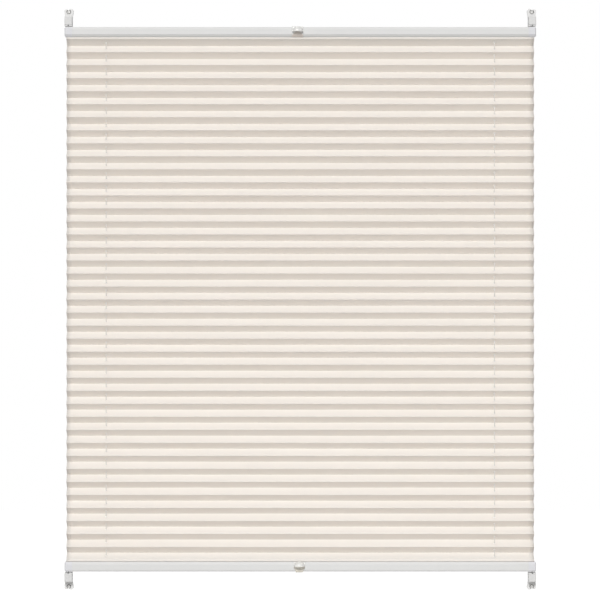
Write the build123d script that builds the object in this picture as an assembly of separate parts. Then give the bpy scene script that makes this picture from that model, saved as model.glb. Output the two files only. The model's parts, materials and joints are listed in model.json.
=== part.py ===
from build123d import *
from math import atan2, cos, degrees, pi, radians, sin, sqrt
import os

# Tensioned pleated blind: one pleated fabric between two sliding rails, held by two taut
# cords that run between four tension shoes screwed to a window frame.
# Millimetres. X to the right, +Y into the window frame, +Z up.
# The origin is midway between the four mounting screws, in the plane of the frame's face.

# Driving dimensions of the whole blind
blind_width = 800.0  # over the end caps of a rail
screw_pitch_z = 978.0  # between upper and lower screws
cord_inset = 6.0  # from the end of a rail to the outer cord and the screw above it
hole_inset = 70.0  # from the end of a rail to its row of holes in the fabric
cord_stand_off = 14.0  # from the frame's face to the middle plane of rails and fabric
shoe_gap = 2.5  # free space between a shoe and the rail drawn up to it

# Rail section
rail_depth = 22.0
rail_height = 16.5
rail_wall = 1.2
rail_radius = 2.5  # corners away from the fabric
bevel_height = 4.2
bevel_depth = 3.0
mouth_width = 11.0  # slot on the fabric side
cap_length = 12.7
cap_edge = 1.5
plug_length = 10.0
fit_gap = 0.15  # between moulded pieces and the rail that they slide into

# Strip that closes the slot and carries the fabric
strip_seat = 1.5  # how far it lies on each lip of the slot
strip_flange = 1.2

# Cords and what leads them
cord_diameter = 1.2
cord_shift = 1.0  # one cord runs this far in front of the middle plane, one behind
cord_bend_radius = 4.0
cord_play = 0.4  # all round in a bore
guide_length = 16.0
guide_width = 15.0
guide_cheek = 3.0  # height of the cheeks beside the cords
trough_width = 5.0
nozzle_diameter = 4.6

# Pleated fabric
pleat_face = 20.0  # cloth between two folds
pleat_pitch = 22.1  # aimed at between two front folds, fabric let down
fabric_thickness = 0.35
fabric_inset = 3.0  # from the end of the rail to the edge of the fabric
fabric_gap = 0.3  # between fabric and strip
first_fold_drop = 3.2  # from the rail to the first front fold
tab_width = 6.0  # cloth glued under the strip, behind the rail's middle
tab_reach = 6.0  # the same in front of it, up to the first sloping face
punch_width = 3.0  # hole for the cord, across flats

# Tension shoe: base plate, holder for the cord's end, stop bead, screw
screw_to_edge = 24.7  # from the screw to the end that faces the rail
shoe_width = 12.8
shoe_front = 20.0  # front of the holder from the frame's face
holder_length = 14.3
base_plate = 3.0
base_lip = 1.5
base_head_thickness = 8.0
locating_pad = 1.2
inner_lobe_radius = 4.2
outer_lobe_radius = 3.4
lobe_offset = 3.9
lobe_rise = 1.0  # centres of the lobes beyond the screw
notch_width = 3.0
notch_depth = 2.2
chamber_width = 6.4
chamber_depth = 9.0
bead_diameter = 5.0
bead_length = 6.0
rib_width = 0.8
holder_edge = 0.8

screw_diameter = 3.5
screw_neck_diameter = 2.6  # plain part inside the shoe
screw_head_diameter = 6.6
screw_head_height = 2.4
screw_free_length = 18.0  # beyond the frame's face
screw_point_taper = 20.0
screw_play = 0.3
small_round_sides = 12  # small round pieces that nothing turns in are many-sided
counterbore_play = 0.6
counterbore_depth = 3.6

# Handles clipped to the rails
handle_radius = 9.5
handle_wall = 1.3
handle_play = 0.1
handle_hook = 3.5  # how far it reaches over the rail
hood_bands = 4
hood_sides = 24
crown_angle = 84.0  # where the bands end at a small flat crown
handle_foot_width = 12.0
upper_handle_x = -4.5
lower_handle_x = -1.7

# Places that follow from them
screw_z = screw_pitch_z / 2
shoe_edge_z = screw_z - screw_to_edge
rail_far_z = shoe_edge_z - shoe_gap
rail_near_z = rail_far_z - rail_height
rail_middle_z = rail_far_z - rail_height / 2
middle_y = -cord_stand_off
rail_end_x = blind_width / 2
outer_cord_x = rail_end_x - cord_inset
inner_cord_x = rail_end_x - hole_inset
profile_end_x = rail_end_x - cap_length
strip_top = rail_wall + strip_flange
cord_radius = cord_diameter / 2
bore_radius = cord_radius + cord_play


def placed(piece, side, end):
    """A piece made for the upper left, moved to side -1 left or 1 right, end 1 top or -1 bottom."""
    if side > 0:
        piece = mirror(piece, about=Plane.YZ)
    if end < 0:
        piece = mirror(piece, about=Plane.XY)
    return piece


def cord_y(side):
    """Each cord has a plane of its own, so the two pass each other inside the rails."""
    return middle_y + side * cord_shift


def cord_path(side):
    """Shoe, across in the upper rail, down through the fabric, back in the lower rail, shoe."""
    near, far, y = side * outer_cord_x, -side * inner_cord_x, cord_y(side)
    end_z = shoe_edge_z + base_lip + holder_length - chamber_depth
    stops = [
        (near, y, end_z),
        (near, y, rail_middle_z),
        (far, y, rail_middle_z),
        (far, y, -rail_middle_z),
        (near, y, -rail_middle_z),
        (near, y, -end_z),
    ]
    return FilletPolyline(*stops, radius=cord_bend_radius)


def braid(path):
    """The braided cord is eight-sided."""
    section = RegularPolygon(cord_radius, 8)
    return sweep(Plane(origin=path @ 0, z_dir=path % 0) * section, path=path)


def curved_slot(y, *stops):
    """Moulded channel for a cord in the XZ plane: square across, with one rounded turn."""
    start, turn, end = stops
    line = FilletPolyline(start, turn, end, radius=cord_bend_radius)
    outline = trace(line, line_width=2 * bore_radius)
    facing = Plane(origin=(0, y, 0), x_dir=(1, 0, 0), z_dir=(0, -1, 0))
    return extrude(facing * outline, amount=bore_radius, both=True)


def rail_outline(grow=0.0):
    """Rail section across X, fabric side down: bevels by the fabric, round corners away from it."""
    half, low = rail_depth / 2, rail_near_z
    points = [
        (middle_y - half + bevel_depth, low),
        (middle_y - half, low + bevel_height),
        (middle_y - half, rail_far_z),
        (middle_y + half, rail_far_z),
        (middle_y + half, low + bevel_height),
        (middle_y + half - bevel_depth, low),
    ]
    outline = make_face(Polyline(*points, close=True))
    far_corners = outline.vertices().sort_by(Axis.Y)[-2:]
    outline = fillet(far_corners, rail_radius)
    return offset(outline, amount=grow, kind=Kind.INTERSECTION) if grow else outline


def block(x, y, z):
    """A box from three pairs of limits."""
    size = [high - low for low, high in (x, y, z)]
    centre = [(low + high) / 2 for low, high in (x, y, z)]
    return Pos(*centre) * Box(*size)


def along_x(sketch, start, end):
    """A section drawn in the YZ plane, run from one X to another."""
    return extrude(Plane.YZ.offset(start) * sketch, amount=end - start)


def rail_profile():
    mouth = Pos(middle_y, rail_near_z) * Rectangle(mouth_width, 2 * rail_wall + fit_gap)
    section = rail_outline() - rail_outline(-rail_wall) - mouth
    return along_x(section, -profile_end_x, profile_end_x)


def fabric_strip():
    """T section lying on the lips of the slot, with holes for the guides' nozzles."""
    stem_width = mouth_width - 2 * fit_gap
    stem = Pos(middle_y, rail_near_z + rail_wall / 2) * Rectangle(stem_width, rail_wall)
    flange_z = rail_near_z + rail_wall + strip_flange / 2
    flange = Pos(middle_y, flange_z) * Rectangle(mouth_width + 2 * strip_seat, strip_flange)
    strip = along_x(stem + flange, -profile_end_x, profile_end_x)
    for side in (-1, 1):
        nozzle_hole = Cylinder(nozzle_diameter / 2 + fit_gap, 4 * strip_top)
        strip -= Pos(-side * inner_cord_x, cord_y(side), rail_near_z) * nozzle_hole
    return strip


def end_cap(side):
    """Cap with the rail's section and a plug; a curved bore turns the cord into the rail."""
    cap = along_x(rail_outline(), -rail_end_x, -profile_end_x)
    cap = chamfer(cap.faces().sort_by(Axis.X)[0].edges(), cap_edge)
    above_strip = Pos(middle_y, rail_near_z) * Rectangle(rail_depth, 2 * (strip_top + fit_gap))
    plug_section = rail_outline(-rail_wall - fit_gap) - above_strip
    cap += along_x(plug_section, -profile_end_x, -profile_end_x + plug_length)
    cap -= curved_slot(
        cord_y(side),
        (-outer_cord_x, rail_far_z + rail_wall),
        (-outer_cord_x, rail_middle_z),
        (-profile_end_x + 2 * plug_length, rail_middle_z),
    )
    return placed(cap, side, 1)


def cord_guide(side):
    """Saddle on the strip: both cords lie in its trough, one turns down through the nozzle."""
    x, low = inner_cord_x, rail_near_z + strip_top
    floor = rail_middle_z - bore_radius
    top = rail_middle_z + cord_radius + guide_cheek
    across = (middle_y - guide_width / 2, middle_y + guide_width / 2)
    saddle = block((x - guide_length / 2, x + guide_length / 2), across, (low, top))
    saddle = chamfer(saddle.edges().filter_by(Axis.Z), rail_wall)
    trough = (middle_y - trough_width / 2, middle_y + trough_width / 2)
    saddle -= block((x - guide_length, x + guide_length), trough, (floor, top + rail_wall))
    nozzle = Cylinder(nozzle_diameter / 2, strip_top, align=(Align.CENTER, Align.CENTER, Align.MAX))
    saddle += Pos(x, cord_y(side), low) * nozzle
    saddle -= curved_slot(
        cord_y(side),
        (x - guide_length, rail_middle_z),
        (x, rail_middle_z),
        (x, rail_near_z - rail_wall),
    )
    return placed(saddle, side, 1)


def fold_line():
    """Middle line of the cloth from the upper strip to the lower one, as (y, z) points."""
    span = 2 * (rail_near_z - first_fold_drop)
    pleats = round(span / pleat_pitch)
    pitch = span / pleats
    half_depth = sqrt(pleat_face**2 - (pitch / 2) ** 2) / 2
    front, back = middle_y - half_depth, middle_y + half_depth
    tab_z = rail_near_z - fabric_gap - fabric_thickness / 2
    start = [(middle_y + tab_width, tab_z), (middle_y - tab_reach, tab_z)]
    folds = [(front, span / 2)]
    for n in range(pleats):
        folds += [(back, span / 2 - (n + 0.5) * pitch), (front, span / 2 - (n + 1) * pitch)]
    return start + folds + [(y, -z) for y, z in reversed(start)]


def cloth_section(points, thickness):
    """A line given thickness: each corner is moved out along the bisector of its two runs."""
    corners = [Vector(0, y, z) for y, z in points]
    runs = [(b - a).normalized() for a, b in zip(corners, corners[1:])]
    sides = [Vector(1, 0, 0).cross(run) for run in runs]
    sides = [sides[0], *sides, sides[-1]]
    front, back = [], []
    for corner, before, after in zip(corners, sides, sides[1:]):
        bisector = before + after
        step = bisector * (thickness / bisector.dot(bisector))
        front.append(corner + step)
        back.append(corner - step)
    return make_face(Polyline(*front, *reversed(back), close=True))


def pleated_fabric():
    """One zigzag sheet, with a six-sided punched hole for the cord in every face."""
    half_width = rail_end_x - fabric_inset
    cloth = extrude(cloth_section(fold_line(), fabric_thickness), amount=half_width, both=True)
    punch = RegularPolygon(punch_width / 2, 6, major_radius=False)
    for side in (-1, 1):
        place = Pos(-side * inner_cord_x, cord_y(side), -rail_near_z)
        cloth -= place * extrude(punch, amount=2 * rail_near_z)
    return cloth


def shoe_head():
    """Outline of the lobed head around the screw, seen from the front, upper left."""
    inner = Pos(lobe_offset, screw_to_edge + lobe_rise) * Circle(inner_lobe_radius)
    outer = Pos(-lobe_offset, screw_to_edge + lobe_rise) * Circle(outer_lobe_radius)
    low, high = base_lip + holder_length, screw_to_edge + lobe_rise
    neck = make_face(
        Polyline(
            (-shoe_width / 2, low),
            (-lobe_offset - outer_lobe_radius, high),
            (lobe_offset + inner_lobe_radius, high),
            (shoe_width / 2, low),
            close=True,
        )
    )
    top = high + inner_lobe_radius
    notch = make_face(
        Polyline(
            (-notch_width / 2, top),
            (0, top - notch_depth),
            (notch_width / 2, top),
            (0, top + notch_depth),
            close=True,
        )
    )
    return inner + outer + neck - notch


def on_frame(sketch, start, end):
    """A front view outline at the upper left shoe, from one distance off the frame to another."""
    front_view = Plane(origin=(-outer_cord_x, -start, shoe_edge_z), x_dir=(1, 0, 0), z_dir=(0, -1, 0))
    return extrude(front_view * sketch, amount=end - start)


def at_screw(piece):
    """A turned piece whose axis is Z, laid on the screw's axis with its top to the front."""
    return Location((-outer_cord_x, 0, screw_z), (90, 0, 0)) * piece


def shoe_base(side, end):
    """Base plate with the lobed head, a lip that takes the cord's pull and a locating pad."""
    holder_middle = base_lip + holder_length / 2
    plate = Pos(0, holder_middle - base_lip / 2) * Rectangle(shoe_width, holder_length + base_lip)
    pad = Pos(0, holder_middle) * Rectangle(shoe_width / 2, holder_length / 2)
    lip = Pos(0, base_lip / 2) * Rectangle(shoe_width, base_lip)
    base = on_frame(plate, 0, base_plate)
    base += on_frame(pad, base_plate, base_plate + locating_pad)
    base += on_frame(lip, 0, shoe_front)
    base += on_frame(shoe_head(), 0, base_head_thickness)
    cord_slot = Rectangle(2 * bore_radius, 3 * base_lip)
    base -= on_frame(cord_slot, -cord_y(side) - bore_radius, shoe_front + base_lip)
    screw_hole = Cylinder(screw_diameter / 2 + screw_play, 3 * base_head_thickness)
    counterbore = Pos(0, 0, base_head_thickness) * Cylinder(
        screw_head_diameter / 2 + counterbore_play, 2 * counterbore_depth
    )
    return placed(base - at_screw(screw_hole) - at_screw(counterbore), side, end)


def cord_holder(side, end):
    """Block that sits on the lip; its chamber holds the bead on the cord. The lower ones are ribbed."""
    low, high = base_lip + fit_gap, base_lip + holder_length
    body = Pos(0, (low + high) / 2) * Rectangle(shoe_width, high - low)
    holder = on_frame(body, base_plate + fit_gap, shoe_front)
    holder = chamfer(holder.faces().sort_by(Axis.Y)[0].edges(), holder_edge)
    holder_middle = base_lip + holder_length / 2
    pad_width, pad_length = shoe_width / 2 + 2 * fit_gap, holder_length / 2 + 2 * fit_gap
    pad_room = Pos(0, holder_middle) * Rectangle(pad_width, pad_length)
    holder -= on_frame(pad_room, 0, base_plate + locating_pad + fit_gap)
    y = cord_y(side)
    chamber = Pos(-outer_cord_x, y, shoe_edge_z + high - chamber_depth)
    holder -= chamber * Cylinder(
        chamber_width / 2, 2 * chamber_depth, align=(Align.CENTER, Align.CENTER, Align.MIN)
    )
    holder -= Pos(-outer_cord_x, y, shoe_edge_z) * Cylinder(bore_radius, 2 * holder_length)
    if end < 0:
        for place in (-0.42, 0.15, 0.42):
            groove = Pos(place * shoe_width, holder_middle) * Rectangle(rib_width, 2 * holder_length)
            holder -= on_frame(groove, shoe_front - rib_width / 2, shoe_front + rib_width)
    return placed(holder, side, end)


def cord_bead(side, end):
    """Stop bead crimped on the cord's end."""
    bead = extrude(RegularPolygon(bead_diameter / 2, small_round_sides), amount=bead_length)
    rims = bead.faces().sort_by(Axis.Z)[0].edges() + bead.faces().sort_by(Axis.Z)[-1].edges()
    bead = chamfer(rims, bead_diameter / 6)
    floor = shoe_edge_z + base_lip + holder_length - chamber_depth
    return placed(Pos(-outer_cord_x, cord_y(side), floor) * bead, side, end)


def shoe_screw(side, end):
    """Pan head screw with a cross recess; its point stands out behind the frame's face."""
    seat = base_head_thickness - counterbore_depth
    head_outline = RegularPolygon(screw_head_diameter / 2, small_round_sides)
    head = Pos(0, 0, seat) * extrude(head_outline, amount=screw_head_height)
    head = chamfer(head.faces().sort_by(Axis.Z)[-1].edges(), screw_head_height / 3)
    arm = screw_head_diameter * 0.55
    for size in ((arm, rib_width), (rib_width, arm)):
        head -= Pos(0, 0, seat + screw_head_height) * Box(*size, screw_head_height)
    neck = extrude(RegularPolygon(screw_neck_diameter / 2, small_round_sides), amount=seat)
    thread = Cylinder(screw_diameter / 2, screw_free_length, align=(Align.CENTER, Align.CENTER, Align.MAX))
    point_outline = RegularPolygon(screw_diameter / 2, small_round_sides)
    point = extrude(point_outline, amount=screw_diameter, taper=screw_point_taper)
    point = Pos(0, 0, -screw_free_length) * Rotation(180, 0, 0) * point
    return placed(at_screw(head + neck + thread + point), side, end)


def dome(radius):
    """A half ball of tapered bands, each with the same many-sided outline, its crown to the front."""
    steps = [radians(crown_angle * n / hood_bands) for n in range(hood_bands + 1)]
    bands = []
    for low, high in zip(steps, steps[1:]):
        rise = radius * (sin(high) - sin(low))
        inward = radius * (cos(low) - cos(high)) * cos(pi / hood_sides)
        outline = Pos(0, 0, radius * sin(low)) * RegularPolygon(radius * cos(low), hood_sides)
        bands.append(extrude(outline, amount=rise, taper=degrees(atan2(inward, rise))))
    return Rotation(90, 0, 0) * (bands[0] + bands[1:])


def finger_hood():
    """Upper half of a hollow dome, open below for the finger."""
    shell = dome(handle_radius) - dome(handle_radius - handle_wall)
    return shell & block((-rail_depth, rail_depth), (-rail_depth, 0), (0, rail_depth))


def rail_handle(x, end):
    """Clip round the front of a rail with a hollow quarter-ball hood for a finger."""
    grown = rail_outline(handle_play + handle_wall) - rail_outline(handle_play)
    front_y = middle_y - rail_depth / 2
    reach = Pos(front_y + handle_hook - rail_depth / 2, rail_middle_z)
    clip = grown & reach * Rectangle(rail_depth, 2 * rail_height)
    clip = placed(along_x(clip, -handle_radius, handle_radius), -1, end)
    middle_z = end * rail_middle_z
    outer_y = front_y - handle_play - handle_wall
    low_z, high_z = middle_z - rail_height, middle_z + rail_height
    front_outline = make_face(
        Polyline(
            (-handle_radius, high_z),
            (-handle_radius, middle_z),
            (-handle_foot_width / 2, middle_z - rail_height / 2),
            (-handle_foot_width / 2, low_z),
            (handle_foot_width / 2, low_z),
            (handle_foot_width / 2, middle_z - rail_height / 2),
            (handle_radius, middle_z),
            (handle_radius, high_z),
            close=True,
        )
    )
    clip &= extrude(Plane.XZ * front_outline, amount=2 * rail_depth, both=True)
    hood = Pos(0, outer_y, middle_z) * finger_hood()
    return Pos(x, 0, 0) * (clip + hood)


def all_pieces():
    pieces = {"pleated_fabric": pleated_fabric()}
    for side, hand in ((-1, "left"), (1, "right")):
        path = cord_path(side)
        pieces[f"tension_cord_{hand}"] = braid(path)
        print(f"tension_cord_{hand}: {path.length:.0f} mm long")
        for end, level in ((1, "upper"), (-1, "lower")):
            spot = f"{level}_{hand}"
            pieces[f"shoe_base_{spot}"] = shoe_base(side, end)
            pieces[f"cord_holder_{spot}"] = cord_holder(side, end)
            pieces[f"cord_bead_{spot}"] = cord_bead(side, end)
            pieces[f"shoe_screw_{spot}"] = shoe_screw(side, end)
            pieces[f"end_cap_{spot}"] = placed(end_cap(side), -1, end)
            pieces[f"cord_guide_{spot}"] = placed(cord_guide(-side), -1, end)
    for end, level, x in ((1, "upper", upper_handle_x), (-1, "lower", lower_handle_x)):
        pieces[f"{level}_rail"] = placed(rail_profile(), -1, end)
        pieces[f"fabric_strip_{level}"] = placed(fabric_strip(), -1, end)
        pieces[f"{level}_handle"] = rail_handle(x, end)
    return pieces


os.makedirs("parts", exist_ok=True)
for name, piece in all_pieces().items():
    export_step(piece, f"parts/{name}.step")
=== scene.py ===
import json
import math
import bmesh
import bpy
import numpy as np
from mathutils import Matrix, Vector

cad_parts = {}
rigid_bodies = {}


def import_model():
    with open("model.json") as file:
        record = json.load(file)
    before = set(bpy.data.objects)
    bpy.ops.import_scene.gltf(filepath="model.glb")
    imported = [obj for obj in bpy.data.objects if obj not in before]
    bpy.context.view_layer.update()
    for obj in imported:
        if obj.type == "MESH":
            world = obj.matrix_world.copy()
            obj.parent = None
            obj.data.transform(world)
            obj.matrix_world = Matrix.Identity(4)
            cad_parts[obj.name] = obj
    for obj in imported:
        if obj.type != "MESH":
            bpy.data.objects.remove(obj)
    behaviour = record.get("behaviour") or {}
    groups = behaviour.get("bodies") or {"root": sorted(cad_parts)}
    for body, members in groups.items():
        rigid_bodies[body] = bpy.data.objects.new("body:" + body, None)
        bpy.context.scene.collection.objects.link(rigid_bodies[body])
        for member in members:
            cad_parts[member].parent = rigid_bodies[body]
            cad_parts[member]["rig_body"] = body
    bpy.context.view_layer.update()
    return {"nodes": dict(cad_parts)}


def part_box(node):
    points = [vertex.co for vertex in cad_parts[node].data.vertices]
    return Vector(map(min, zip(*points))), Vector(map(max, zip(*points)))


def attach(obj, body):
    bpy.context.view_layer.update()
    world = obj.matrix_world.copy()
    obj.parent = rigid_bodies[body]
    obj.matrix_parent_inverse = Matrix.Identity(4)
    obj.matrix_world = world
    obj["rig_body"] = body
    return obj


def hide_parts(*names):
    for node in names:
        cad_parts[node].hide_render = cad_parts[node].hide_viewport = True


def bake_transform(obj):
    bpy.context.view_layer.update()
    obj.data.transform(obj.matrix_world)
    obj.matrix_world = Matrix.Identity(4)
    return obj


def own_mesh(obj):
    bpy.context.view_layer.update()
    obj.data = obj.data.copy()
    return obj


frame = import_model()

# Pleated blind held between two sliding rails by two taut cords, seen square on.
# Metres, X to the right, Y into the window frame, Z up.

collection = bpy.context.scene.collection
levels = ("upper", "lower")
hands = ("left", "right")
corners = [level + "_" + hand for level in levels for hand in hands]


# Camera, light and floor

studio = {
    "cameraPlace": (-0.0005, -4.895, -0.0012),
    "lens": 172.3,
    "sensor": 36.0,
    "skyColour": (1.0, 0.995, 0.99),
    "skyStrength": 0.29,
    "keyPlace": (-2.0, -22.5, 14.2),  # as high as the pleats are steep, so that light fills them
    "keySize": 7.9,
    "keyPower": 4800.0,
    "fillPlace": (0.15, -1.25, -0.5),
    "fillSize": 0.45,
    "fillPower": 0.95,
    "lampColour": (1.0, 1.0, 0.995),
    "floorHeight": -0.80,
    "floorHalf": 6.0,
    "floorColour": (0.72, 0.715, 0.71),
    "floorLift": 0.68,
}


def addCamera(settings):
    # A level camera that looks along +Y.
    data = bpy.data.cameras.new("productCamera")
    data.lens = settings["lens"]
    data.sensor_width = settings["sensor"]
    camera = bpy.data.objects.new("productCamera", data)
    camera.location = settings["cameraPlace"]
    camera.rotation_euler = (math.pi / 2, 0, 0)
    collection.objects.link(camera)
    bpy.context.scene.camera = camera


def addLamp(settings, kind):
    # A round lamp that faces the origin and that the camera doesn't see.
    data = bpy.data.lights.new(kind + "Lamp", "AREA")
    data.shape = "DISK"
    data.size = settings[kind + "Size"]
    data.energy = settings[kind + "Power"]
    data.color = settings["lampColour"]
    lamp = bpy.data.objects.new(kind + "Lamp", data)
    lamp.location = settings[kind + "Place"]
    lamp.rotation_mode = "QUATERNION"
    lamp.rotation_quaternion = (-lamp.location).to_track_quat("-Z", "Y")
    lamp.visible_camera = False
    collection.objects.link(lamp)


def backdropRays(tree):
    # The greatest of three marks, each 1 for a kind of ray that sees the white backdrop and else 0.
    path = tree.nodes.new("ShaderNodeLightPath")
    total = path.outputs["Is Camera Ray"]
    for kind in ("Is Glossy Ray", "Is Transmission Ray"):
        either = tree.nodes.new("ShaderNodeMath")
        either.operation = "MAXIMUM"
        tree.links.new(total, either.inputs[0])
        tree.links.new(path.outputs[kind], either.inputs[1])
        total = either.outputs[0]
    return total


def addSky(settings):
    # White for the rays that see the backdrop, and a dim even light for all others.
    world = bpy.data.worlds.new("studioSky")
    world.use_nodes = True
    tree = world.node_tree
    tree.nodes.clear()
    light = tree.nodes.new("ShaderNodeBackground")
    light.inputs["Color"].default_value = (*settings["skyColour"], 1)
    light.inputs["Strength"].default_value = settings["skyStrength"]
    white = tree.nodes.new("ShaderNodeBackground")
    white.inputs["Color"].default_value = (1, 1, 1, 1)
    choice = tree.nodes.new("ShaderNodeMixShader")
    out = tree.nodes.new("ShaderNodeOutputWorld")
    tree.links.new(backdropRays(tree), choice.inputs[0])
    tree.links.new(light.outputs[0], choice.inputs[1])
    tree.links.new(white.outputs[0], choice.inputs[2])
    tree.links.new(choice.outputs[0], out.inputs["Surface"])
    bpy.context.scene.world = world


def addFloor(settings):
    # A level square; rays that see the backdrop get some light added, so it is white but keeps a shadow.
    half, height = settings["floorHalf"], settings["floorHeight"]
    mesh = bpy.data.meshes.new("studioFloor")
    points = [(x * half, y * half, height) for x, y in ((-1, -1), (1, -1), (1, 1), (-1, 1))]
    mesh.from_pydata(points, [], [(0, 1, 2, 3)])
    floor = bpy.data.objects.new("studioFloor", mesh)
    collection.objects.link(floor)
    material = bpy.data.materials.new("paleFloor")
    material.use_nodes = True
    tree = material.node_tree
    tree.nodes.clear()
    paint = tree.nodes.new("ShaderNodeBsdfDiffuse")
    paint.inputs["Color"].default_value = (*settings["floorColour"], 1)
    lift = tree.nodes.new("ShaderNodeEmission")
    strength = tree.nodes.new("ShaderNodeMath")
    strength.operation = "MULTIPLY"
    strength.inputs[1].default_value = settings["floorLift"]
    total = tree.nodes.new("ShaderNodeAddShader")
    out = tree.nodes.new("ShaderNodeOutputMaterial")
    tree.links.new(backdropRays(tree), strength.inputs[0])
    tree.links.new(strength.outputs[0], lift.inputs["Strength"])
    tree.links.new(paint.outputs[0], total.inputs[0])
    tree.links.new(lift.outputs[0], total.inputs[1])
    tree.links.new(total.outputs[0], out.inputs["Surface"])
    mesh.materials.append(material)


bpy.context.scene.view_settings.view_transform = "Standard"
addCamera(studio)
addSky(studio)
addFloor(studio)
addLamp(studio, "key")
addLamp(studio, "fill")
print("studio: camera, sky, floor and two lamps")


# Shader groups that several finishes share

moulded = {
    "grainShare": 0.4,  # of the fine noise in the mix; the rest is the broad one
    "grainDetail": 2.0,
    "cloudDetail": 3.0,
}

threadWork = {
    "slubAcross": 60.0,  # thick and thin threads: long across the cloth, fine along it
    "slubAlong": 1400.0,
    "slubDetail": 3.0,
    "cloudScale": 9.0,
    "cloudDetail": 4.0,
    "cloudShare": 0.6,
}


def newGroup(name, inputs, outputs):
    # A group with its sockets, and its two end nodes.
    group = bpy.data.node_groups.new(name, "ShaderNodeTree")
    for label, kind, value in inputs:
        socket = group.interface.new_socket(label, in_out="INPUT", socket_type=kind)
        if value is not None:
            socket.default_value = value
    for label, kind in outputs:
        group.interface.new_socket(label, in_out="OUTPUT", socket_type=kind)
    return group, group.nodes.new("NodeGroupInput"), group.nodes.new("NodeGroupOutput")


def mathNode(tree, operation, *values):
    # One step of arithmetic, on plain numbers or on what other nodes put out.
    node = tree.nodes.new("ShaderNodeMath")
    node.operation = operation
    for socket, value in zip(node.inputs, values):
        if isinstance(value, (int, float)):
            socket.default_value = value
        else:
            tree.links.new(value, socket)
    return node.outputs[0]


def noiseNode(tree, vector, scale, detail):
    # Cloudy noise from 0 to 1, whose scale is a plain number or what another node puts out.
    node = tree.nodes.new("ShaderNodeTexNoise")
    node.inputs["Detail"].default_value = detail
    tree.links.new(vector, node.inputs["Vector"])
    if isinstance(scale, (int, float)):
        node.inputs["Scale"].default_value = scale
    else:
        tree.links.new(scale, node.inputs["Scale"])
    return node.outputs["Fac"]


def plainColour(tree, colour):
    # One colour as a node.
    node = tree.nodes.new("ShaderNodeRGB")
    node.outputs[0].default_value = (*colour, 1)
    return node.outputs[0]


def mixColour(tree, share, first, second):
    # The first colour where the share is 0, the second where it is 1.
    node = tree.nodes.new("ShaderNodeMix")
    node.data_type = "RGBA"
    tree.links.new(share, node.inputs["Factor"])
    tree.links.new(first, node.inputs["A"])
    tree.links.new(second, node.inputs["B"])
    return node.outputs["Result"]


def makeGrain(settings):
    # Skin of a moulded or coated piece: a fine and a broad noise are mixed, and the mix picks the tone
    # between light and dark and moves the roughness to either side of its middle.
    group, start, end = newGroup(
        "skinGrain",
        [
            ("Vector", "NodeSocketVector", None),
            ("Grain Scale", "NodeSocketFloat", 1500.0),
            ("Cloud Scale", "NodeSocketFloat", 40.0),
            ("Light", "NodeSocketColor", (0.8, 0.8, 0.8, 1)),
            ("Dark", "NodeSocketColor", (0.7, 0.7, 0.7, 1)),
            ("Roughness", "NodeSocketFloat", 0.4),
            ("Roughness Spread", "NodeSocketFloat", 0.1),
        ],
        [("Color", "NodeSocketColor"), ("Roughness", "NodeSocketFloat"), ("Height", "NodeSocketFloat")],
    )
    vector = start.outputs["Vector"]
    grain = noiseNode(group, vector, start.outputs["Grain Scale"], settings["grainDetail"])
    cloud = noiseNode(group, vector, start.outputs["Cloud Scale"], settings["cloudDetail"])
    broad = mathNode(group, "MULTIPLY", cloud, 1 - settings["grainShare"])
    both = mathNode(group, "MULTIPLY_ADD", grain, settings["grainShare"], broad)
    colour = mixColour(group, both, start.outputs["Light"], start.outputs["Dark"])
    centred = mathNode(group, "SUBTRACT", both, 0.5)
    spread = mathNode(group, "MULTIPLY", centred, start.outputs["Roughness Spread"])
    roughness = mathNode(group, "ADD", spread, start.outputs["Roughness"])
    group.links.new(colour, end.inputs["Color"])
    group.links.new(roughness, end.inputs["Roughness"])
    group.links.new(grain, end.inputs["Height"])
    return group


def makeWeave(settings):
    # Threads over and under: the height is the product of two sines, one across and one along, and
    # noise drawn out across the cloth raises some of the threads.
    group, start, end = newGroup(
        "threadWeave",
        [
            ("Vector", "NodeSocketVector", None),
            ("Threads Across", "NodeSocketFloat", 2200.0),
            ("Threads Along", "NodeSocketFloat", 2200.0),
            ("Slub", "NodeSocketFloat", 0.5),
        ],
        [("Height", "NodeSocketFloat"), ("Cloud", "NodeSocketFloat")],
    )
    parts = group.nodes.new("ShaderNodeSeparateXYZ")
    group.links.new(start.outputs["Vector"], parts.inputs[0])
    across, along = parts.outputs["X"], parts.outputs["Y"]
    over = mathNode(group, "SINE", mathNode(group, "MULTIPLY", across, start.outputs["Threads Across"]))
    under = mathNode(group, "SINE", mathNode(group, "MULTIPLY", along, start.outputs["Threads Along"]))
    threads = mathNode(group, "MULTIPLY", over, under)
    drawn = group.nodes.new("ShaderNodeCombineXYZ")
    group.links.new(mathNode(group, "MULTIPLY", across, settings["slubAcross"]), drawn.inputs["X"])
    group.links.new(mathNode(group, "MULTIPLY", along, settings["slubAlong"]), drawn.inputs["Y"])
    slub = noiseNode(group, drawn.outputs[0], 1.0, settings["slubDetail"])
    cloud = noiseNode(group, start.outputs["Vector"], settings["cloudScale"], settings["cloudDetail"])
    raised = mathNode(group, "MULTIPLY", slub, start.outputs["Slub"])
    fine = mathNode(group, "MULTIPLY", slub, 1 - settings["cloudShare"])
    broad = mathNode(group, "MULTIPLY", cloud, settings["cloudShare"])
    group.links.new(mathNode(group, "ADD", threads, raised), end.inputs["Height"])
    group.links.new(mathNode(group, "ADD", broad, fine), end.inputs["Cloud"])
    return group


grainGroup = makeGrain(moulded)
weaveGroup = makeWeave(threadWork)


def newMaterial(name):
    # A material with its main shader and the coordinates that its patterns read.
    material = bpy.data.materials.new(name)
    material.use_nodes = True
    tree = material.node_tree
    return material, tree, tree.nodes["Principled BSDF"], tree.nodes.new("ShaderNodeTexCoord")


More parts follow.
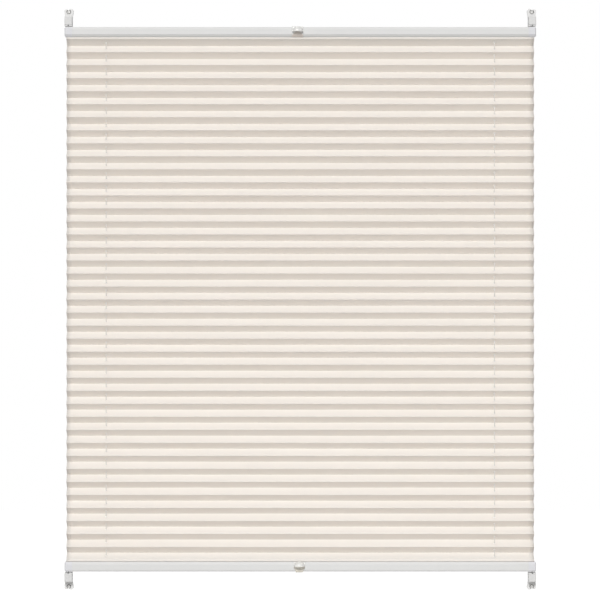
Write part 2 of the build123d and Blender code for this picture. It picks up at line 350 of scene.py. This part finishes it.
def placeGroup(tree, group, vector, values):
    # A shared group inside one material, with that material's own value for each input it names.
    node = tree.nodes.new("ShaderNodeGroup")
    node.node_tree = group
    tree.links.new(vector, node.inputs["Vector"])
    for label, value in values.items():
        node.inputs[label].default_value = (*value, 1) if isinstance(value, tuple) else value
    return node


def addBump(tree, skin, height, strength, depth):
    # Small relief from a height.
    bump = tree.nodes.new("ShaderNodeBump")
    bump.inputs["Strength"].default_value = strength
    bump.inputs["Distance"].default_value = depth
    tree.links.new(height, bump.inputs["Height"])
    tree.links.new(bump.outputs["Normal"], skin.inputs["Normal"])


# Plastics and coated metal. Names with a capital are inputs of the grain group.
skins = {
    "whitePowderCoat": {
        "Light": (0.72, 0.72, 0.715), "Dark": (0.69, 0.69, 0.684), "Grain Scale": 1300.0,
        "Cloud Scale": 25.0, "Roughness": 0.42, "Roughness Spread": 0.12, "bump": 0.12,
    },
    "capPlastic": {
        "Light": (0.725, 0.725, 0.75), "Dark": (0.675, 0.675, 0.70), "Grain Scale": 2100.0,
        "Cloud Scale": 160.0, "Roughness": 0.5, "Roughness Spread": 0.15, "bump": 0.08,
    },
    "shoePlastic": {
        "Light": (0.72, 0.718, 0.715), "Dark": (0.67, 0.668, 0.663), "Grain Scale": 1900.0,
        "Cloud Scale": 120.0, "Roughness": 0.46, "Roughness Spread": 0.15, "bump": 0.08,
    },
    "shoePlasticPaintedLight": {  # painted light: the blocks' own plastic, painted paler against the shade that the blocks cast on it
        "Light": (0.79, 0.788, 0.783), "Dark": (0.74, 0.738, 0.732), "Grain Scale": 1900.0,
        "Cloud Scale": 120.0, "Roughness": 0.46, "Roughness Spread": 0.15, "bump": 0.08,
    },
    "stripPlastic": {
        "Light": (0.82, 0.805, 0.775), "Dark": (0.78, 0.765, 0.735), "Grain Scale": 1700.0,
        "Cloud Scale": 60.0, "Roughness": 0.55, "Roughness Spread": 0.1, "bump": 0.08,
    },
    "beadPlastic": {
        "Light": (0.75, 0.745, 0.73), "Dark": (0.69, 0.685, 0.67), "Grain Scale": 2500.0,
        "Cloud Scale": 300.0, "Roughness": 0.38, "Roughness Spread": 0.12, "bump": 0.06,
    },
    "zincPlate": {
        "Light": (0.60, 0.595, 0.585), "Dark": (0.44, 0.435, 0.425), "Grain Scale": 900.0,
        "Cloud Scale": 220.0, "Roughness": 0.42, "Roughness Spread": 0.25, "bump": 0.15,
        "bumpDepth": 0.0001, "specular": 0.5, "metal": 1.0,
    },
}
commonSkin = {"bumpDepth": 0.0002, "specular": 0.45, "metal": 0.0}  # where a skin doesn't say otherwise


def makeSkin(name, settings):
    # Colour and roughness from the grain group, and a fine relief from the same grain.
    material, tree, skin, place = newMaterial(name)
    values = {label: value for label, value in settings.items() if label[0].isupper()}
    grain = placeGroup(tree, grainGroup, place.outputs["Object"], values)
    tree.links.new(grain.outputs["Color"], skin.inputs["Base Color"])
    tree.links.new(grain.outputs["Roughness"], skin.inputs["Roughness"])
    skin.inputs["Metallic"].default_value = settings["metal"]
    skin.inputs["Specular IOR Level"].default_value = settings["specular"]
    addBump(tree, skin, grain.outputs["Height"], settings["bump"], settings["bumpDepth"])
    return material


finish = {name: makeSkin(name, {**commonSkin, **settings}) for name, settings in skins.items()}

clearPlasticPaintedShade = {
    "hood": (0.93, 0.925, 0.905),
    # Painted shade: the foot is the same clear plastic as the hood, painted darker where the hood shades it.
    "foot": {"upper": (0.80, 0.73, 0.67), "lower": (0.78, 0.735, 0.64)},
    "droop": {"upper": 0.0065, "lower": 0.0},  # how much lower the hood's tone reaches at the sides, which arches the painted shade
    "fadeHeight": 0.0012,  # over which the foot's painted shade turns into the hood's tone
    "wander": 0.0012,  # by which that line is uneven
    "cloudScale": 260.0,
    "cloudDetail": 3.0,
    "transmission": 0.25,
    "roughness": 0.3,
    "ior": 1.49,
    "coat": 0.3,
    "bump": 0.05,
    "bumpDepth": 0.0002,
}


def makeClearPaintedShade(settings, level, x, z, radius):
    # Clear plastic with painted shade, darker below a line through (x, z) that droops with the square of the
    # way aside: the hood's shadow painted on the foot.
    material, tree, skin, place = newMaterial("clearPlasticPaintedShade_" + level)
    parts = tree.nodes.new("ShaderNodeSeparateXYZ")
    tree.links.new(place.outputs["Object"], parts.inputs[0])
    aside = mathNode(tree, "DIVIDE", mathNode(tree, "SUBTRACT", parts.outputs["X"], x), radius)
    droop = mathNode(tree, "MULTIPLY", mathNode(tree, "MULTIPLY", aside, aside), settings["droop"][level])
    above = mathNode(tree, "ADD", mathNode(tree, "SUBTRACT", parts.outputs["Z"], z), droop)
    cloud = noiseNode(tree, place.outputs["Object"], settings["cloudScale"], settings["cloudDetail"])
    wander = mathNode(tree, "MULTIPLY", mathNode(tree, "SUBTRACT", cloud, 0.5), settings["wander"])
    share = mathNode(tree, "DIVIDE", mathNode(tree, "ADD", above, wander), settings["fadeHeight"])
    share.node.use_clamp = True
    # The foot's colour is painted shade; the hood's is the plastic's own tone.
    foot, hood = plainColour(tree, settings["foot"][level]), plainColour(tree, settings["hood"])
    tree.links.new(mixColour(tree, share, foot, hood), skin.inputs["Base Color"])
    skin.inputs["Transmission Weight"].default_value = settings["transmission"]
    skin.inputs["Roughness"].default_value = settings["roughness"]
    skin.inputs["IOR"].default_value = settings["ior"]
    skin.inputs["Coat Weight"].default_value = settings["coat"]
    addBump(tree, skin, cloud, settings["bump"], settings["bumpDepth"])
    return material


# Surfaces as grids, and what finishes them

mending = {
    "weld": 2e-6,  # points closer than this become one
    "sliver": 1e-7,
    "flatAngle": 1.0,  # degrees between faces that are joined into one
    "sharpAngle": 50.0,  # and at an edge that stays sharp on the refined pieces
    "bevelAngle": 35.0,
    "bevelSegments": 2,
    "cornerSamples": 7,  # whose mean rounds a corner
}


def newPiece(name, points, faces, body, material, uv=None):
    # A piece from its points and faces; uv is one pair of values for each point.
    mesh = bpy.data.meshes.new(name)
    mesh.from_pydata(points.reshape(-1, 3).tolist(), [], faces.tolist())
    mesh.validate()
    if uv is not None:
        layer = mesh.uv_layers.new(name="UVMap")
        used = np.zeros(len(mesh.loops), np.int32)
        mesh.loops.foreach_get("vertex_index", used)
        layer.data.foreach_set("uv", uv[used].astype(np.float32).ravel())
    mesh.shade_smooth()
    mesh.materials.append(material)
    piece = bpy.data.objects.new(name, mesh)
    collection.objects.link(piece)
    if body:
        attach(piece, body)
    return piece


def gridFaces(rows, columns, closed=False):
    # Four-cornered faces between neighbouring rows and columns; closed joins last column to first.
    index = np.arange(rows * columns).reshape(rows, columns)
    after = np.roll(index, -1, axis=1) if closed else index[:, 1:]
    before = index if closed else index[:, :-1]
    return np.stack([before[:-1], after[:-1], after[1:], before[1:]], axis=-1).reshape(-1, 4)


def runAlong(points):
    # How far each point lies from the first, measured along the line through all of them.
    return np.concatenate([[0], np.cumsum(np.linalg.norm(np.diff(points, axis=0), axis=1))])


def roundedLine(line, s, reach):
    # A line of straight runs with rounded corners: at s, its mean from s - reach to s + reach.
    along = runAlong(line)
    near = s + np.linspace(-reach, reach, mending["cornerSamples"])[:, None]
    return [np.interp(near, along, line[:, axis]).mean(axis=0) for axis in (0, 1)]


def closeEnds(piece):
    # A flat end on each open ring, then all faces turned outwards.
    shape = bmesh.new()
    shape.from_mesh(piece.data)
    bmesh.ops.holes_fill(shape, edges=[edge for edge in shape.edges if edge.is_boundary])
    bmesh.ops.recalc_face_normals(shape, faces=shape.faces)
    shape.to_mesh(piece.data)
    shape.free()


def cleanShell(piece, angle):
    # Doubles merged, faces turned to one side, and edges over the angle kept sharp.
    shape = bmesh.new()
    shape.from_mesh(piece.data)
    bmesh.ops.remove_doubles(shape, verts=shape.verts, dist=mending["weld"])
    bmesh.ops.dissolve_degenerate(shape, dist=mending["sliver"], edges=shape.edges)
    bmesh.ops.recalc_face_normals(shape, faces=shape.faces)
    shape.to_mesh(piece.data)
    shape.free()
    piece.data.set_sharp_from_angle(angle=math.radians(angle))


def addBevel(piece, width):
    # Rounded edges where faces meet at an angle, and flat faces that stay flat in their shading.
    bevel = piece.modifiers.new("softEdges", "BEVEL")
    bevel.width = width
    bevel.segments = mending["bevelSegments"]
    bevel.limit_method = "ANGLE"
    bevel.angle_limit = math.radians(mending["bevelAngle"])
    bevel.use_clamp_overlap = True
    normals = piece.modifiers.new("flatFaces", "WEIGHTED_NORMAL")
    normals.keep_sharp = True


def addWall(piece, thickness, offset, even=True):
    # Even keeps the thickness in corners. Cloth goes without, or its folds would spread as it packs flat.
    wall = piece.modifiers.new("wall", "SOLIDIFY")
    wall.thickness = thickness
    wall.offset = offset
    wall.use_even_offset = even


# Pleated fabric: two halves that meet in the middle front fold

fabric = {
    "faceLength": 0.020,  # cloth between two folds
    "faceCount": 40,
    "firstDrop": 0.0032,  # from the rail to the first front fold
    "thickness": 0.00035,
    "gap": 0.0003,  # below the strip
    "inset": 0.003,  # from the end of the rail
    "tab": 0.006,  # glued under the strip, behind the rail's middle
    "reach": 0.0082,  # and in front of it, so that the cloth leaves the rail level with its first fold
    "tabRows": 8,
    "notch": (2, 6),  # rows of the tab that the cord passes
    "crease": 0.0009,  # cloth either side of a fold that bends
    "creaseShares": (0, 0.025, 0.05, 0.1),  # rows next to a fold, as shares of a face
    "patchShares": (0.25, 0.75),  # part of a face whose grid turns into rings round a hole
    "patchHalf": 0.005,  # half the width of that part
    "patchCells": 6,
    "edgeColumns": 6,
    "cell": 0.014,
    "holeInset": 0.070,
    "holeRadius": 0.0015,
    "ringShares": (0.5, 1.0),  # of the way from the rim of that part to the hole
    "waveDepth": 0.00035,
    "waves": ((11.0, 190.0), (4.3, 31.0)),  # two waves, each by its radians a metre in X and in Z
    "light": (0.940, 0.957, 0.955),
    "dark": (0.922, 0.936, 0.930),
    "glow": (0.985, 0.88, 0.785),
    "glowShare": 0.36,
    "threads": 13000.0,  # radians a metre
    "roughness": 0.85,
    "specular": 0.25,
    "sheen": 0.08,
    "bump": 0.25,
    "bumpDepth": 0.00005,
}

railLow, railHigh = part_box("upper_rail")
middleY = (railLow.y + railHigh.y) / 2
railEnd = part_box("end_cap_upper_right")[1].x
cordPlane = {hand: sum(end.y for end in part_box("cord_bead_upper_" + hand)) / 2 for hand in hands}


def makeCloth(settings):
    # Woven cloth that glows: a share of the light goes through it, the rest comes back from the threads.
    material, tree, skin, place = newMaterial("pleatedCloth")
    threads = {"Threads Across": settings["threads"], "Threads Along": settings["threads"]}
    weave = placeGroup(tree, weaveGroup, place.outputs["UV"], threads)
    light, dark = plainColour(tree, settings["light"]), plainColour(tree, settings["dark"])
    tree.links.new(mixColour(tree, weave.outputs["Cloud"], light, dark), skin.inputs["Base Color"])
    skin.inputs["Roughness"].default_value = settings["roughness"]
    skin.inputs["Specular IOR Level"].default_value = settings["specular"]
    skin.inputs["Sheen Weight"].default_value = settings["sheen"]
    addBump(tree, skin, weave.outputs["Height"], settings["bump"], settings["bumpDepth"])
    through = tree.nodes.new("ShaderNodeBsdfTranslucent")
    through.inputs["Color"].default_value = (*settings["glow"], 1)
    mix = tree.nodes.new("ShaderNodeMixShader")
    mix.inputs[0].default_value = settings["glowShare"]
    tree.links.new(skin.outputs[0], mix.inputs[1])
    tree.links.new(through.outputs[0], mix.inputs[2])
    tree.links.new(mix.outputs[0], tree.nodes["Material Output"].inputs["Surface"])
    return material


def foldLine(settings):
    # Corners of the upper half's section as (y, z): the glued tab, then front and back folds in turn.
    # How deep the folds are is the third side of a triangle, after a face and its height.
    high = railLow.z - settings["firstDrop"]
    height = high / settings["faceCount"]
    depth = math.sqrt(settings["faceLength"] ** 2 - height ** 2)
    tabHigh = railLow.z - settings["gap"] - settings["thickness"] / 2
    tab = [(middleY + settings["tab"], tabHigh), (middleY - settings["reach"], tabHigh)]
    folds = np.arange(settings["faceCount"] + 2)  # one more than the half has, which rounds its last
    y = middleY + np.where(folds % 2 == 0, -depth / 2, depth / 2)
    return np.concatenate([tab, np.stack([y, high - folds * height], axis=1)])


def foldedCloth(settings, flat, line):
    # Flat cloth (u across, v along) to its place on the rounded fold line; the product of two sines
    # moves it a little to the front and back.
    u, v = flat.T
    y, z = roundedLine(line, v, settings["crease"])
    first, second = [np.sin(inX * u + inZ * z) for inX, inZ in settings["waves"]]
    return np.stack([u, y + settings["waveDepth"] * first * second, z], axis=1)


def holeCentres(line, hand):
    # Along the cloth, where each face passes the plane of its cord, by that plane's share of the depth.
    along, y = runAlong(line)[2:-1], line[2:-1, 0]
    share = (cordPlane[hand] - y[:-1]) / np.diff(y)
    return along[:-1] + share * np.diff(along)


def clothLines(settings, line):
    # Where the grid's lines lie across and along the flat cloth, and how many rows each face has.
    cells, half = settings["patchCells"], settings["patchHalf"]
    edge, hole = railEnd - settings["inset"], railEnd - settings["holeInset"]
    outside = np.linspace(-edge, -hole - half, settings["edgeColumns"] + 1)[:-1]
    patch = np.linspace(-hole - half, -hole + half, cells + 1)
    count = round(2 * (hole - half) / settings["cell"])
    between = np.linspace(-hole + half, hole - half, count)[1:-1]
    across = np.concatenate([outside, patch, between, -patch[::-1], -outside[::-1]])
    along, crease = runAlong(line), np.array(settings["creaseShares"])
    shares = np.concatenate([crease, np.linspace(*settings["patchShares"], cells + 1), 1 - crease[:0:-1]])
    tab = np.linspace(along[0], along[1], settings["tabRows"] + 1)[:-1]
    faces = (along[1:-2, None] + shares * np.diff(along)[1:-1, None]).ravel()
    return across, np.concatenate([tab, faces, along[-2:-1]]), len(shares)


def flatCloth(settings, line):
    # A grid without its patches, and in each patch rings that turn its square rim into a round hole:
    # each ring's points lie a share of the way from the rim to the circle.
    across, rows, perFace = clothLines(settings, line)
    u, v = np.meshgrid(across, rows)
    flat = np.stack([u.ravel(), v.ravel()], axis=1)
    index = np.arange(u.size).reshape(u.shape)
    keep = np.ones((len(rows) - 1, len(across) - 1), bool)
    cells, count = settings["patchCells"], settings["faceCount"]
    firstRows = settings["tabRows"] + len(settings["creaseShares"]) + perFace * (1 + np.arange(count))
    farColumn = len(across) - settings["edgeColumns"] - cells - 1
    steps = np.arange(cells + 1)
    points, faces, total = [flat], [], len(flat)
    for hand, column in (("right", settings["edgeColumns"]), ("left", farColumn)):
        patch = index[firstRows[:, None, None] + steps[:, None], column + steps]
        for step in range(cells):
            keep[np.ix_(firstRows + step, column + np.arange(cells))] = False
        middleColumn = column + cells // 2
        keep[slice(*settings["notch"]), middleColumn - 1:middleColumn + 1] = False  # the cord comes out here
        sides = [patch[:, 0, :-1], patch[:, :-1, -1], patch[:, -1, :0:-1], patch[:, :0:-1, 0]]
        rim = np.concatenate(sides, axis=1)
        middle = np.stack([np.full(count, across[middleColumn]), holeCentres(line, hand)], axis=1)[:, None]
        away = flat[rim] - middle
        circle = middle + away * (settings["holeRadius"] / np.linalg.norm(away, axis=2))[..., None]
        outer = rim
        for share in settings["ringShares"]:
            points.append((flat[rim] * (1 - share) + circle * share).reshape(-1, 2))
            inner = total + np.arange(rim.size).reshape(rim.shape)
            quads = [outer, np.roll(outer, -1, axis=1), np.roll(inner, -1, axis=1), inner]
            faces.append(np.stack(quads, axis=-1).reshape(-1, 4))
            outer, total = inner, total + rim.size
    grid = gridFaces(len(rows), len(across))[keep.ravel()]
    used, faces = np.unique(np.concatenate([grid, *faces]), return_inverse=True)
    size = (across[-1] - across[0], rows[-1] - rows[0])
    return np.concatenate(points)[used], faces.reshape(-1, 4), size


def makeFabricHalf(settings, level, material):
    # The upper half as it is folded, and for the lower one its mirror image, with its faces turned round.
    line = foldLine(settings)
    flat, faces, size = flatCloth(settings, line)
    points = foldedCloth(settings, flat, line)
    if level == "lower":
        points[:, 2] *= -1
        faces = faces[:, ::-1]
    name = "pleated_fabric_" + level + "_half"
    piece = newPiece(name, points, faces, "mounting", material, flat)
    addWall(piece, settings["thickness"], 0.0, even=False)
    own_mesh(piece)
    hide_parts("pleated_fabric")


clothMaterial = makeCloth(fabric)
for level in levels:
    makeFabricHalf(fabric, level, clothMaterial)
print("fabric: two halves of", fabric["faceCount"], "faces each")


# Tension cords

cord = {
    "radius": 0.0006,
    "sides": 12,
    "route": [  # of a right upper end as (x, z): into the cap, through the rail, out over the fabric
        (0.394, 0.4616), (0.394, 0.45355), (0.386, 0.45355),
        (-0.322, 0.45355), (-0.330, 0.45355), (-0.330, 0.4450),
    ],
    "routeSteps": 24,
    "shoeRings": 90,
    "fabricRings": 30,
    "twist": 0.0024,  # one turn of the braid
    "strands": 25.13,  # four strands a turn, in radians
    # Painted shade: light for the strands' crests, dark for the grooves between them.
    "light": (0.86, 0.855, 0.84),
    "dark": (0.70, 0.69, 0.67),
    "lightShare": 0.4,
    "lightSpread": 0.3,
    "roughness": 0.7,
    "bump": 0.5,
    "bumpDepth": 0.00008,
}


def makeBraid(settings):
    # Two sets of strands wound against each other, with painted shade: the higher a strand stands, the
    # lighter it is, and the grooves between the strands are painted darker.
    material, tree, skin, place = newMaterial("braidedCord")
    strands = {"Threads Across": settings["strands"], "Threads Along": settings["strands"]}
    weave = placeGroup(tree, weaveGroup, place.outputs["UV"], strands)
    height = weave.outputs["Height"]
    share = mathNode(tree, "MULTIPLY_ADD", height, settings["lightSpread"], settings["lightShare"])
    light, dark = plainColour(tree, settings["light"]), plainColour(tree, settings["dark"])
    tree.links.new(mixColour(tree, share, dark, light), skin.inputs["Base Color"])
    skin.inputs["Roughness"].default_value = settings["roughness"]
    addBump(tree, skin, height, settings["bump"], settings["bumpDepth"])
    return material


def routePoints(settings, stops, plane):
    # The smooth line that a NURBS spline draws from the route's points, in the plane of its cord.
    curve = bpy.data.curves.new("route", "CURVE")
    curve.dimensions = "3D"
    spline = curve.splines.new("NURBS")
    spline.points.add(len(stops) - 1)
    for point, (x, z) in zip(spline.points, stops):
        point.co = (x, plane, z, 1)
    spline.order_u = 3
    spline.use_endpoint_u = True
    spline.resolution_u = settings["routeSteps"]
    holder = bpy.data.objects.new("route", curve)
    collection.objects.link(holder)
    mesh = bpy.data.meshes.new_from_object(holder)
    points = np.zeros(len(mesh.vertices) * 3)
    mesh.vertices.foreach_get("co", points)
    bpy.data.objects.remove(holder)
    return points.reshape(-1, 3)


def straightPoints(x, plane, high, low, count):
    # Evenly spaced points from one height to another.
    z = np.linspace(high, low, count)
    return np.stack([np.full(count, x), np.full(count, plane), z], axis=1)


def makeCord(settings, name, path, body):
    # A tube: at each point of the path a circle square to it, spanned by Y and the sideways direction.
    # The braid's two coordinates are the turn round the tube plus and minus the run along it.
    along = np.gradient(path, axis=0)
    along /= np.linalg.norm(along, axis=1)[:, None]
    sideways = np.cross(along, [0, 1, 0])[:, None]
    angle = np.linspace(0, 2 * math.pi, settings["sides"], endpoint=False)[None, :, None]
    points = path[:, None] + settings["radius"] * (np.cos(angle) * sideways + np.sin(angle) * [0, 1, 0])
    run = runAlong(path)[:, None] / settings["twist"]
    turn = angle[..., 0] / (2 * math.pi)
    uv = np.stack([turn + run, turn - run], axis=-1).reshape(-1, 2)
    faces = gridFaces(len(path), settings["sides"], closed=True)
    piece = newPiece(name, points, faces, body, braidMaterial, uv)
    closeEnds(piece)
    return piece


def layCord(settings, hand, level):
    # One corner of a cord: taut from bead to cap, through the rail, and down to the fabric's middle.
    side = 1 if hand == "right" else -1
    end = 1 if level == "upper" else -1
    inner, outer = (0, 1) if level == "upper" else (1, 0)  # the corner of a box towards the middle
    plane, body, name = cordPlane[hand], level + "_rail_body", f"cord_{hand}_{level}_"
    stops = [(side * x, end * z) for x, z in settings["route"]]
    (outerX, capHigh), (innerX, fabricHigh) = stops[0], stops[-1]
    beadEnd, shoeEnd, capEnd = [
        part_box(start + level + "_" + hand)[edge].z
        for start, edge in (("cord_bead_", inner), ("shoe_base_", inner), ("end_cap_", outer))
    ]
    outside = straightPoints(outerX, plane, beadEnd, capHigh, settings["shoeRings"])
    taut = makeCord(settings, name + "to_shoe", outside, None)
    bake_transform(taut)
    inside = makeCord(settings, name + "in_rail", routePoints(settings, stops, plane), body)
    down = straightPoints(innerX, plane, fabricHigh, 0, settings["fabricRings"])
    drop = makeCord(settings, name + "in_fabric", down, "mounting")
    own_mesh(drop)
    for piece in (taut, inside, drop):
        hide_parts("tension_cord_" + hand)


braidMaterial = makeBraid(cord)
for hand in hands:
    for level in levels:
        layCord(cord, hand, level)
print("cords: two, each in six stretches")


# Finger handles clipped to the fronts of the rails

handle = {
    "radius": 0.0095,
    "wall": 0.0013,
    "gap": 0.0001,  # between clip and rail
    "hook": 0.0035,  # over the far side of the rail
    "footHalf": {"upper": 0.0095, "lower": 0.006},  # half the width at the foot
    "arch": {"upper": 0.08, "lower": 0.0},  # how far the rim rises in its middle, in radians
    "bevelDepth": 0.003,  # of the rail's sloping face
    "bevelHeight": 0.0042,
    "bevelShare": 0.95,  # of that face that the clip covers
    "cornerShift": 0.32,  # of the clip's distance from the rail, by which its corner lies nearer the edge
    "corner": 0.0009,
    "softEdge": 0.0003,
    "clipGrid": (80, 17),
    "clipSharp": 40.0,  # degrees
    "hoodGrid": (33, 17),
    "hoodSharp": 80.0,
}


def clipLine(settings, level):
    # Corners of the clip's section as (y, z), from over the far side of the rail to its sloping face.
    # All lie a gap and half a wall off the rail, so the third is nearer the edge than the rail's corner.
    low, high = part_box(level + "_rail")
    sign = 1 if level == "upper" else -1
    far, near = (high.z, low.z) if level == "upper" else (low.z, high.z)
    off = settings["gap"] + settings["wall"] / 2
    slope = math.hypot(settings["bevelDepth"], settings["bevelHeight"])
    inY, inZ = settings["bevelDepth"] / slope, settings["bevelHeight"] / slope
    corner = near + sign * (settings["bevelHeight"] - settings["cornerShift"] * off)
    reach = settings["bevelShare"] * slope
    tip = (low.y - inZ * off + inY * reach, corner - sign * inZ * reach)
    top = far + sign * off
    return np.array([(low.y + settings["hook"], top), (low.y - off, top), (low.y - off, corner), tip])


def makeClip(settings, level, x, z, railHalf, material):
    # The section carried from side to side; below the rail's middle its half width goes over to the
    # foot's, in proportion to the fall.
    rows, columns = settings["clipGrid"]
    line = clipLine(settings, level)
    clipY, clipZ = roundedLine(line, np.linspace(0, runAlong(line)[-1], rows), settings["corner"])
    fall = np.clip((z - clipZ) / railHalf, 0, 1)
    half = settings["radius"] + (settings["footHalf"][level] - settings["radius"]) * fall
    acrossX = x + np.linspace(-1, 1, columns) * half[:, None]
    flatY, flatZ = [np.repeat(value[:, None], columns, 1) for value in (clipY, clipZ)]
    points, faces = np.stack([acrossX, flatY, flatZ], axis=-1), gridFaces(rows, columns)
    clip = newPiece(level + "_handle_clip", points, faces, level + "_rail_body", material)
    cleanShell(clip, settings["clipSharp"])
    addWall(clip, settings["wall"], 0.0)
    addBevel(clip, settings["softEdge"])
    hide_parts(level + "_handle")


def makeHood(settings, level, x, y, z, material):
    # Quarter ball: u turns from one end of the rim to the other, v from the rim up to the clip.
    rows, columns = settings["hoodGrid"]
    u = np.linspace(0, math.pi, rows)[:, None]
    rise = settings["arch"][level] * np.sin(u) ** 2
    v = rise + (math.pi / 2 - rise) * np.linspace(0, 1, columns)
    r = settings["radius"]
    ballX = x + r * np.cos(u) + 0 * v
    ballY = y - r * np.sin(u) * np.cos(v)
    ballZ = z + r * np.sin(u) * np.sin(v)
    points, faces = np.stack([ballX, ballY, ballZ], axis=-1), gridFaces(rows, columns)
    hood = newPiece(level + "_handle_hood", points, faces, level + "_rail_body", material)
    cleanShell(hood, settings["hoodSharp"])
    face = hood.data.polygons[len(hood.data.polygons) // 2]
    outward = (face.center - Vector((x, y, z))).dot(face.normal) > 0
    addWall(hood, settings["wall"], -1.0 if outward else 1.0)  # inwards from the ball either way
    addBevel(hood, settings["softEdge"])
    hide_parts(level + "_handle")


for level in levels:
    handleLow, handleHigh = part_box(level + "_handle")
    low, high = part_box(level + "_rail")
    x, z = (handleLow.x + handleHigh.x) / 2, (low.z + high.z) / 2
    # Clear plastic with the foot's painted shade.
    paintedShadeClear = makeClearPaintedShade(clearPlasticPaintedShade, level, x, z, handle["radius"])
    makeClip(handle, level, x, z, (high.z - low.z) / 2, paintedShadeClear)
    makeHood(handle, level, x, low.y - handle["gap"] - handle["wall"], z, paintedShadeClear)
print("handles: two clips with hoods")


# Moulded, extruded and turned pieces: the shapes of the model with softened edges

refined = {
    "end_cap_": {"finish": "capPlastic", "slot": "cap_plastic", "edge": 0.0003},
    "cord_guide_": {"finish": "capPlastic", "slot": "cap_plastic", "edge": 0.0002},
    # The shoe bases take the shoe plastic with painted light.
    "shoe_base_": {"finish": "shoePlasticPaintedLight", "slot": "shoe_plastic", "edge": 0.00025},
    "cord_holder_": {"finish": "shoePlastic", "slot": "shoe_plastic", "edge": 0.00025},
    "cord_bead_": {"finish": "beadPlastic", "slot": "clear_plastic", "edge": 0.0002},
    "shoe_screw_": {"finish": "zincPlate", "slot": "screw_steel", "edge": 0.00012, "until": 0.0001},
}
railSkin = {"finish": "whitePowderCoat", "slot": "rail_paint", "edge": 0.0002}


def refine(node, settings):
    # A merged copy of a node with its flat faces joined and its edges bevelled; until names a plane in
    # Y behind which it ends, where another piece goes on.
    source = frame["nodes"][node]
    mesh = source.data.copy()
    if "custom_normal" in mesh.attributes:
        mesh.attributes.remove(mesh.attributes["custom_normal"])
    piece = bpy.data.objects.new(node + "_finished", mesh)
    collection.objects.link(piece)
    shape = bmesh.new()
    shape.from_mesh(mesh)
    bmesh.ops.remove_doubles(shape, verts=shape.verts, dist=mending["weld"])
    if "until" in settings:
        behind = [vert for vert in shape.verts if vert.co.y > settings["until"]]
        bmesh.ops.delete(shape, geom=behind, context="VERTS")
    flat = math.radians(mending["flatAngle"])
    bmesh.ops.dissolve_limit(shape, angle_limit=flat, verts=shape.verts, edges=shape.edges)
    shape.to_mesh(mesh)
    shape.free()
    mesh.shade_smooth()
    mesh.set_sharp_from_angle(angle=math.radians(mending["sharpAngle"]))
    mesh.materials.clear()
    mesh.materials.append(finish[settings["finish"]])
    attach(piece, source["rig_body"])
    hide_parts(node)
    addBevel(piece, settings["edge"])


for start, settings in refined.items():
    for spot in corners:
        refine(start + spot, settings)
for level in levels:
    refine(level + "_rail", railSkin)
    strip = frame["nodes"]["fabric_strip_" + level]
    strip.data.materials.clear()
    strip.data.materials.append(finish["stripPlastic"])
print("rails, caps, guides, shoes, beads and screws")


# Threads of the screws behind the frame's face

thread = {
    "core": 0.00118,
    "crest": 0.00173,
    "pitch": 0.0012,
    "ridge": 0.35,  # share of the pitch that a ridge takes to either side
    "taper": 0.0055,
    "point": 0.02,  # share of the radius that is left at the very end
    "sides": 24,
    "rowsPerTurn": 10,
}


def makeThread(settings, spot):
    # Radius is the core's plus a ridge where the turn comes round, and both run out to the point.
    low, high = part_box("shoe_screw_" + spot)
    x, z, length = (low.x + high.x) / 2, (low.z + high.z) / 2, high.y
    angle = np.linspace(0, 2 * math.pi, settings["sides"], endpoint=False)[None, :]
    rows = round(settings["rowsPerTurn"] * length / settings["pitch"])
    y = np.linspace(0, length, rows)[:, None]
    phase = (y / settings["pitch"] - angle / (2 * math.pi)) % 1.0
    ridge = np.clip(1 - np.abs(phase - 0.5) / settings["ridge"], 0, 1)
    taper = np.clip((length - y) / settings["taper"], settings["point"], 1)
    radius = taper * (settings["core"] + (settings["crest"] - settings["core"]) * ridge)
    points = np.stack([x + radius * np.cos(angle), y + 0 * angle, z + radius * np.sin(angle)], axis=-1)
    name, faces = "shoe_screw_" + spot, gridFaces(rows, settings["sides"], closed=True)
    piece = newPiece(name + "_thread", points, faces, "mounting", finish["zincPlate"])
    closeEnds(piece)
    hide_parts(name)


for spot in corners:
    makeThread(thread, spot)
print("threads on four screws")
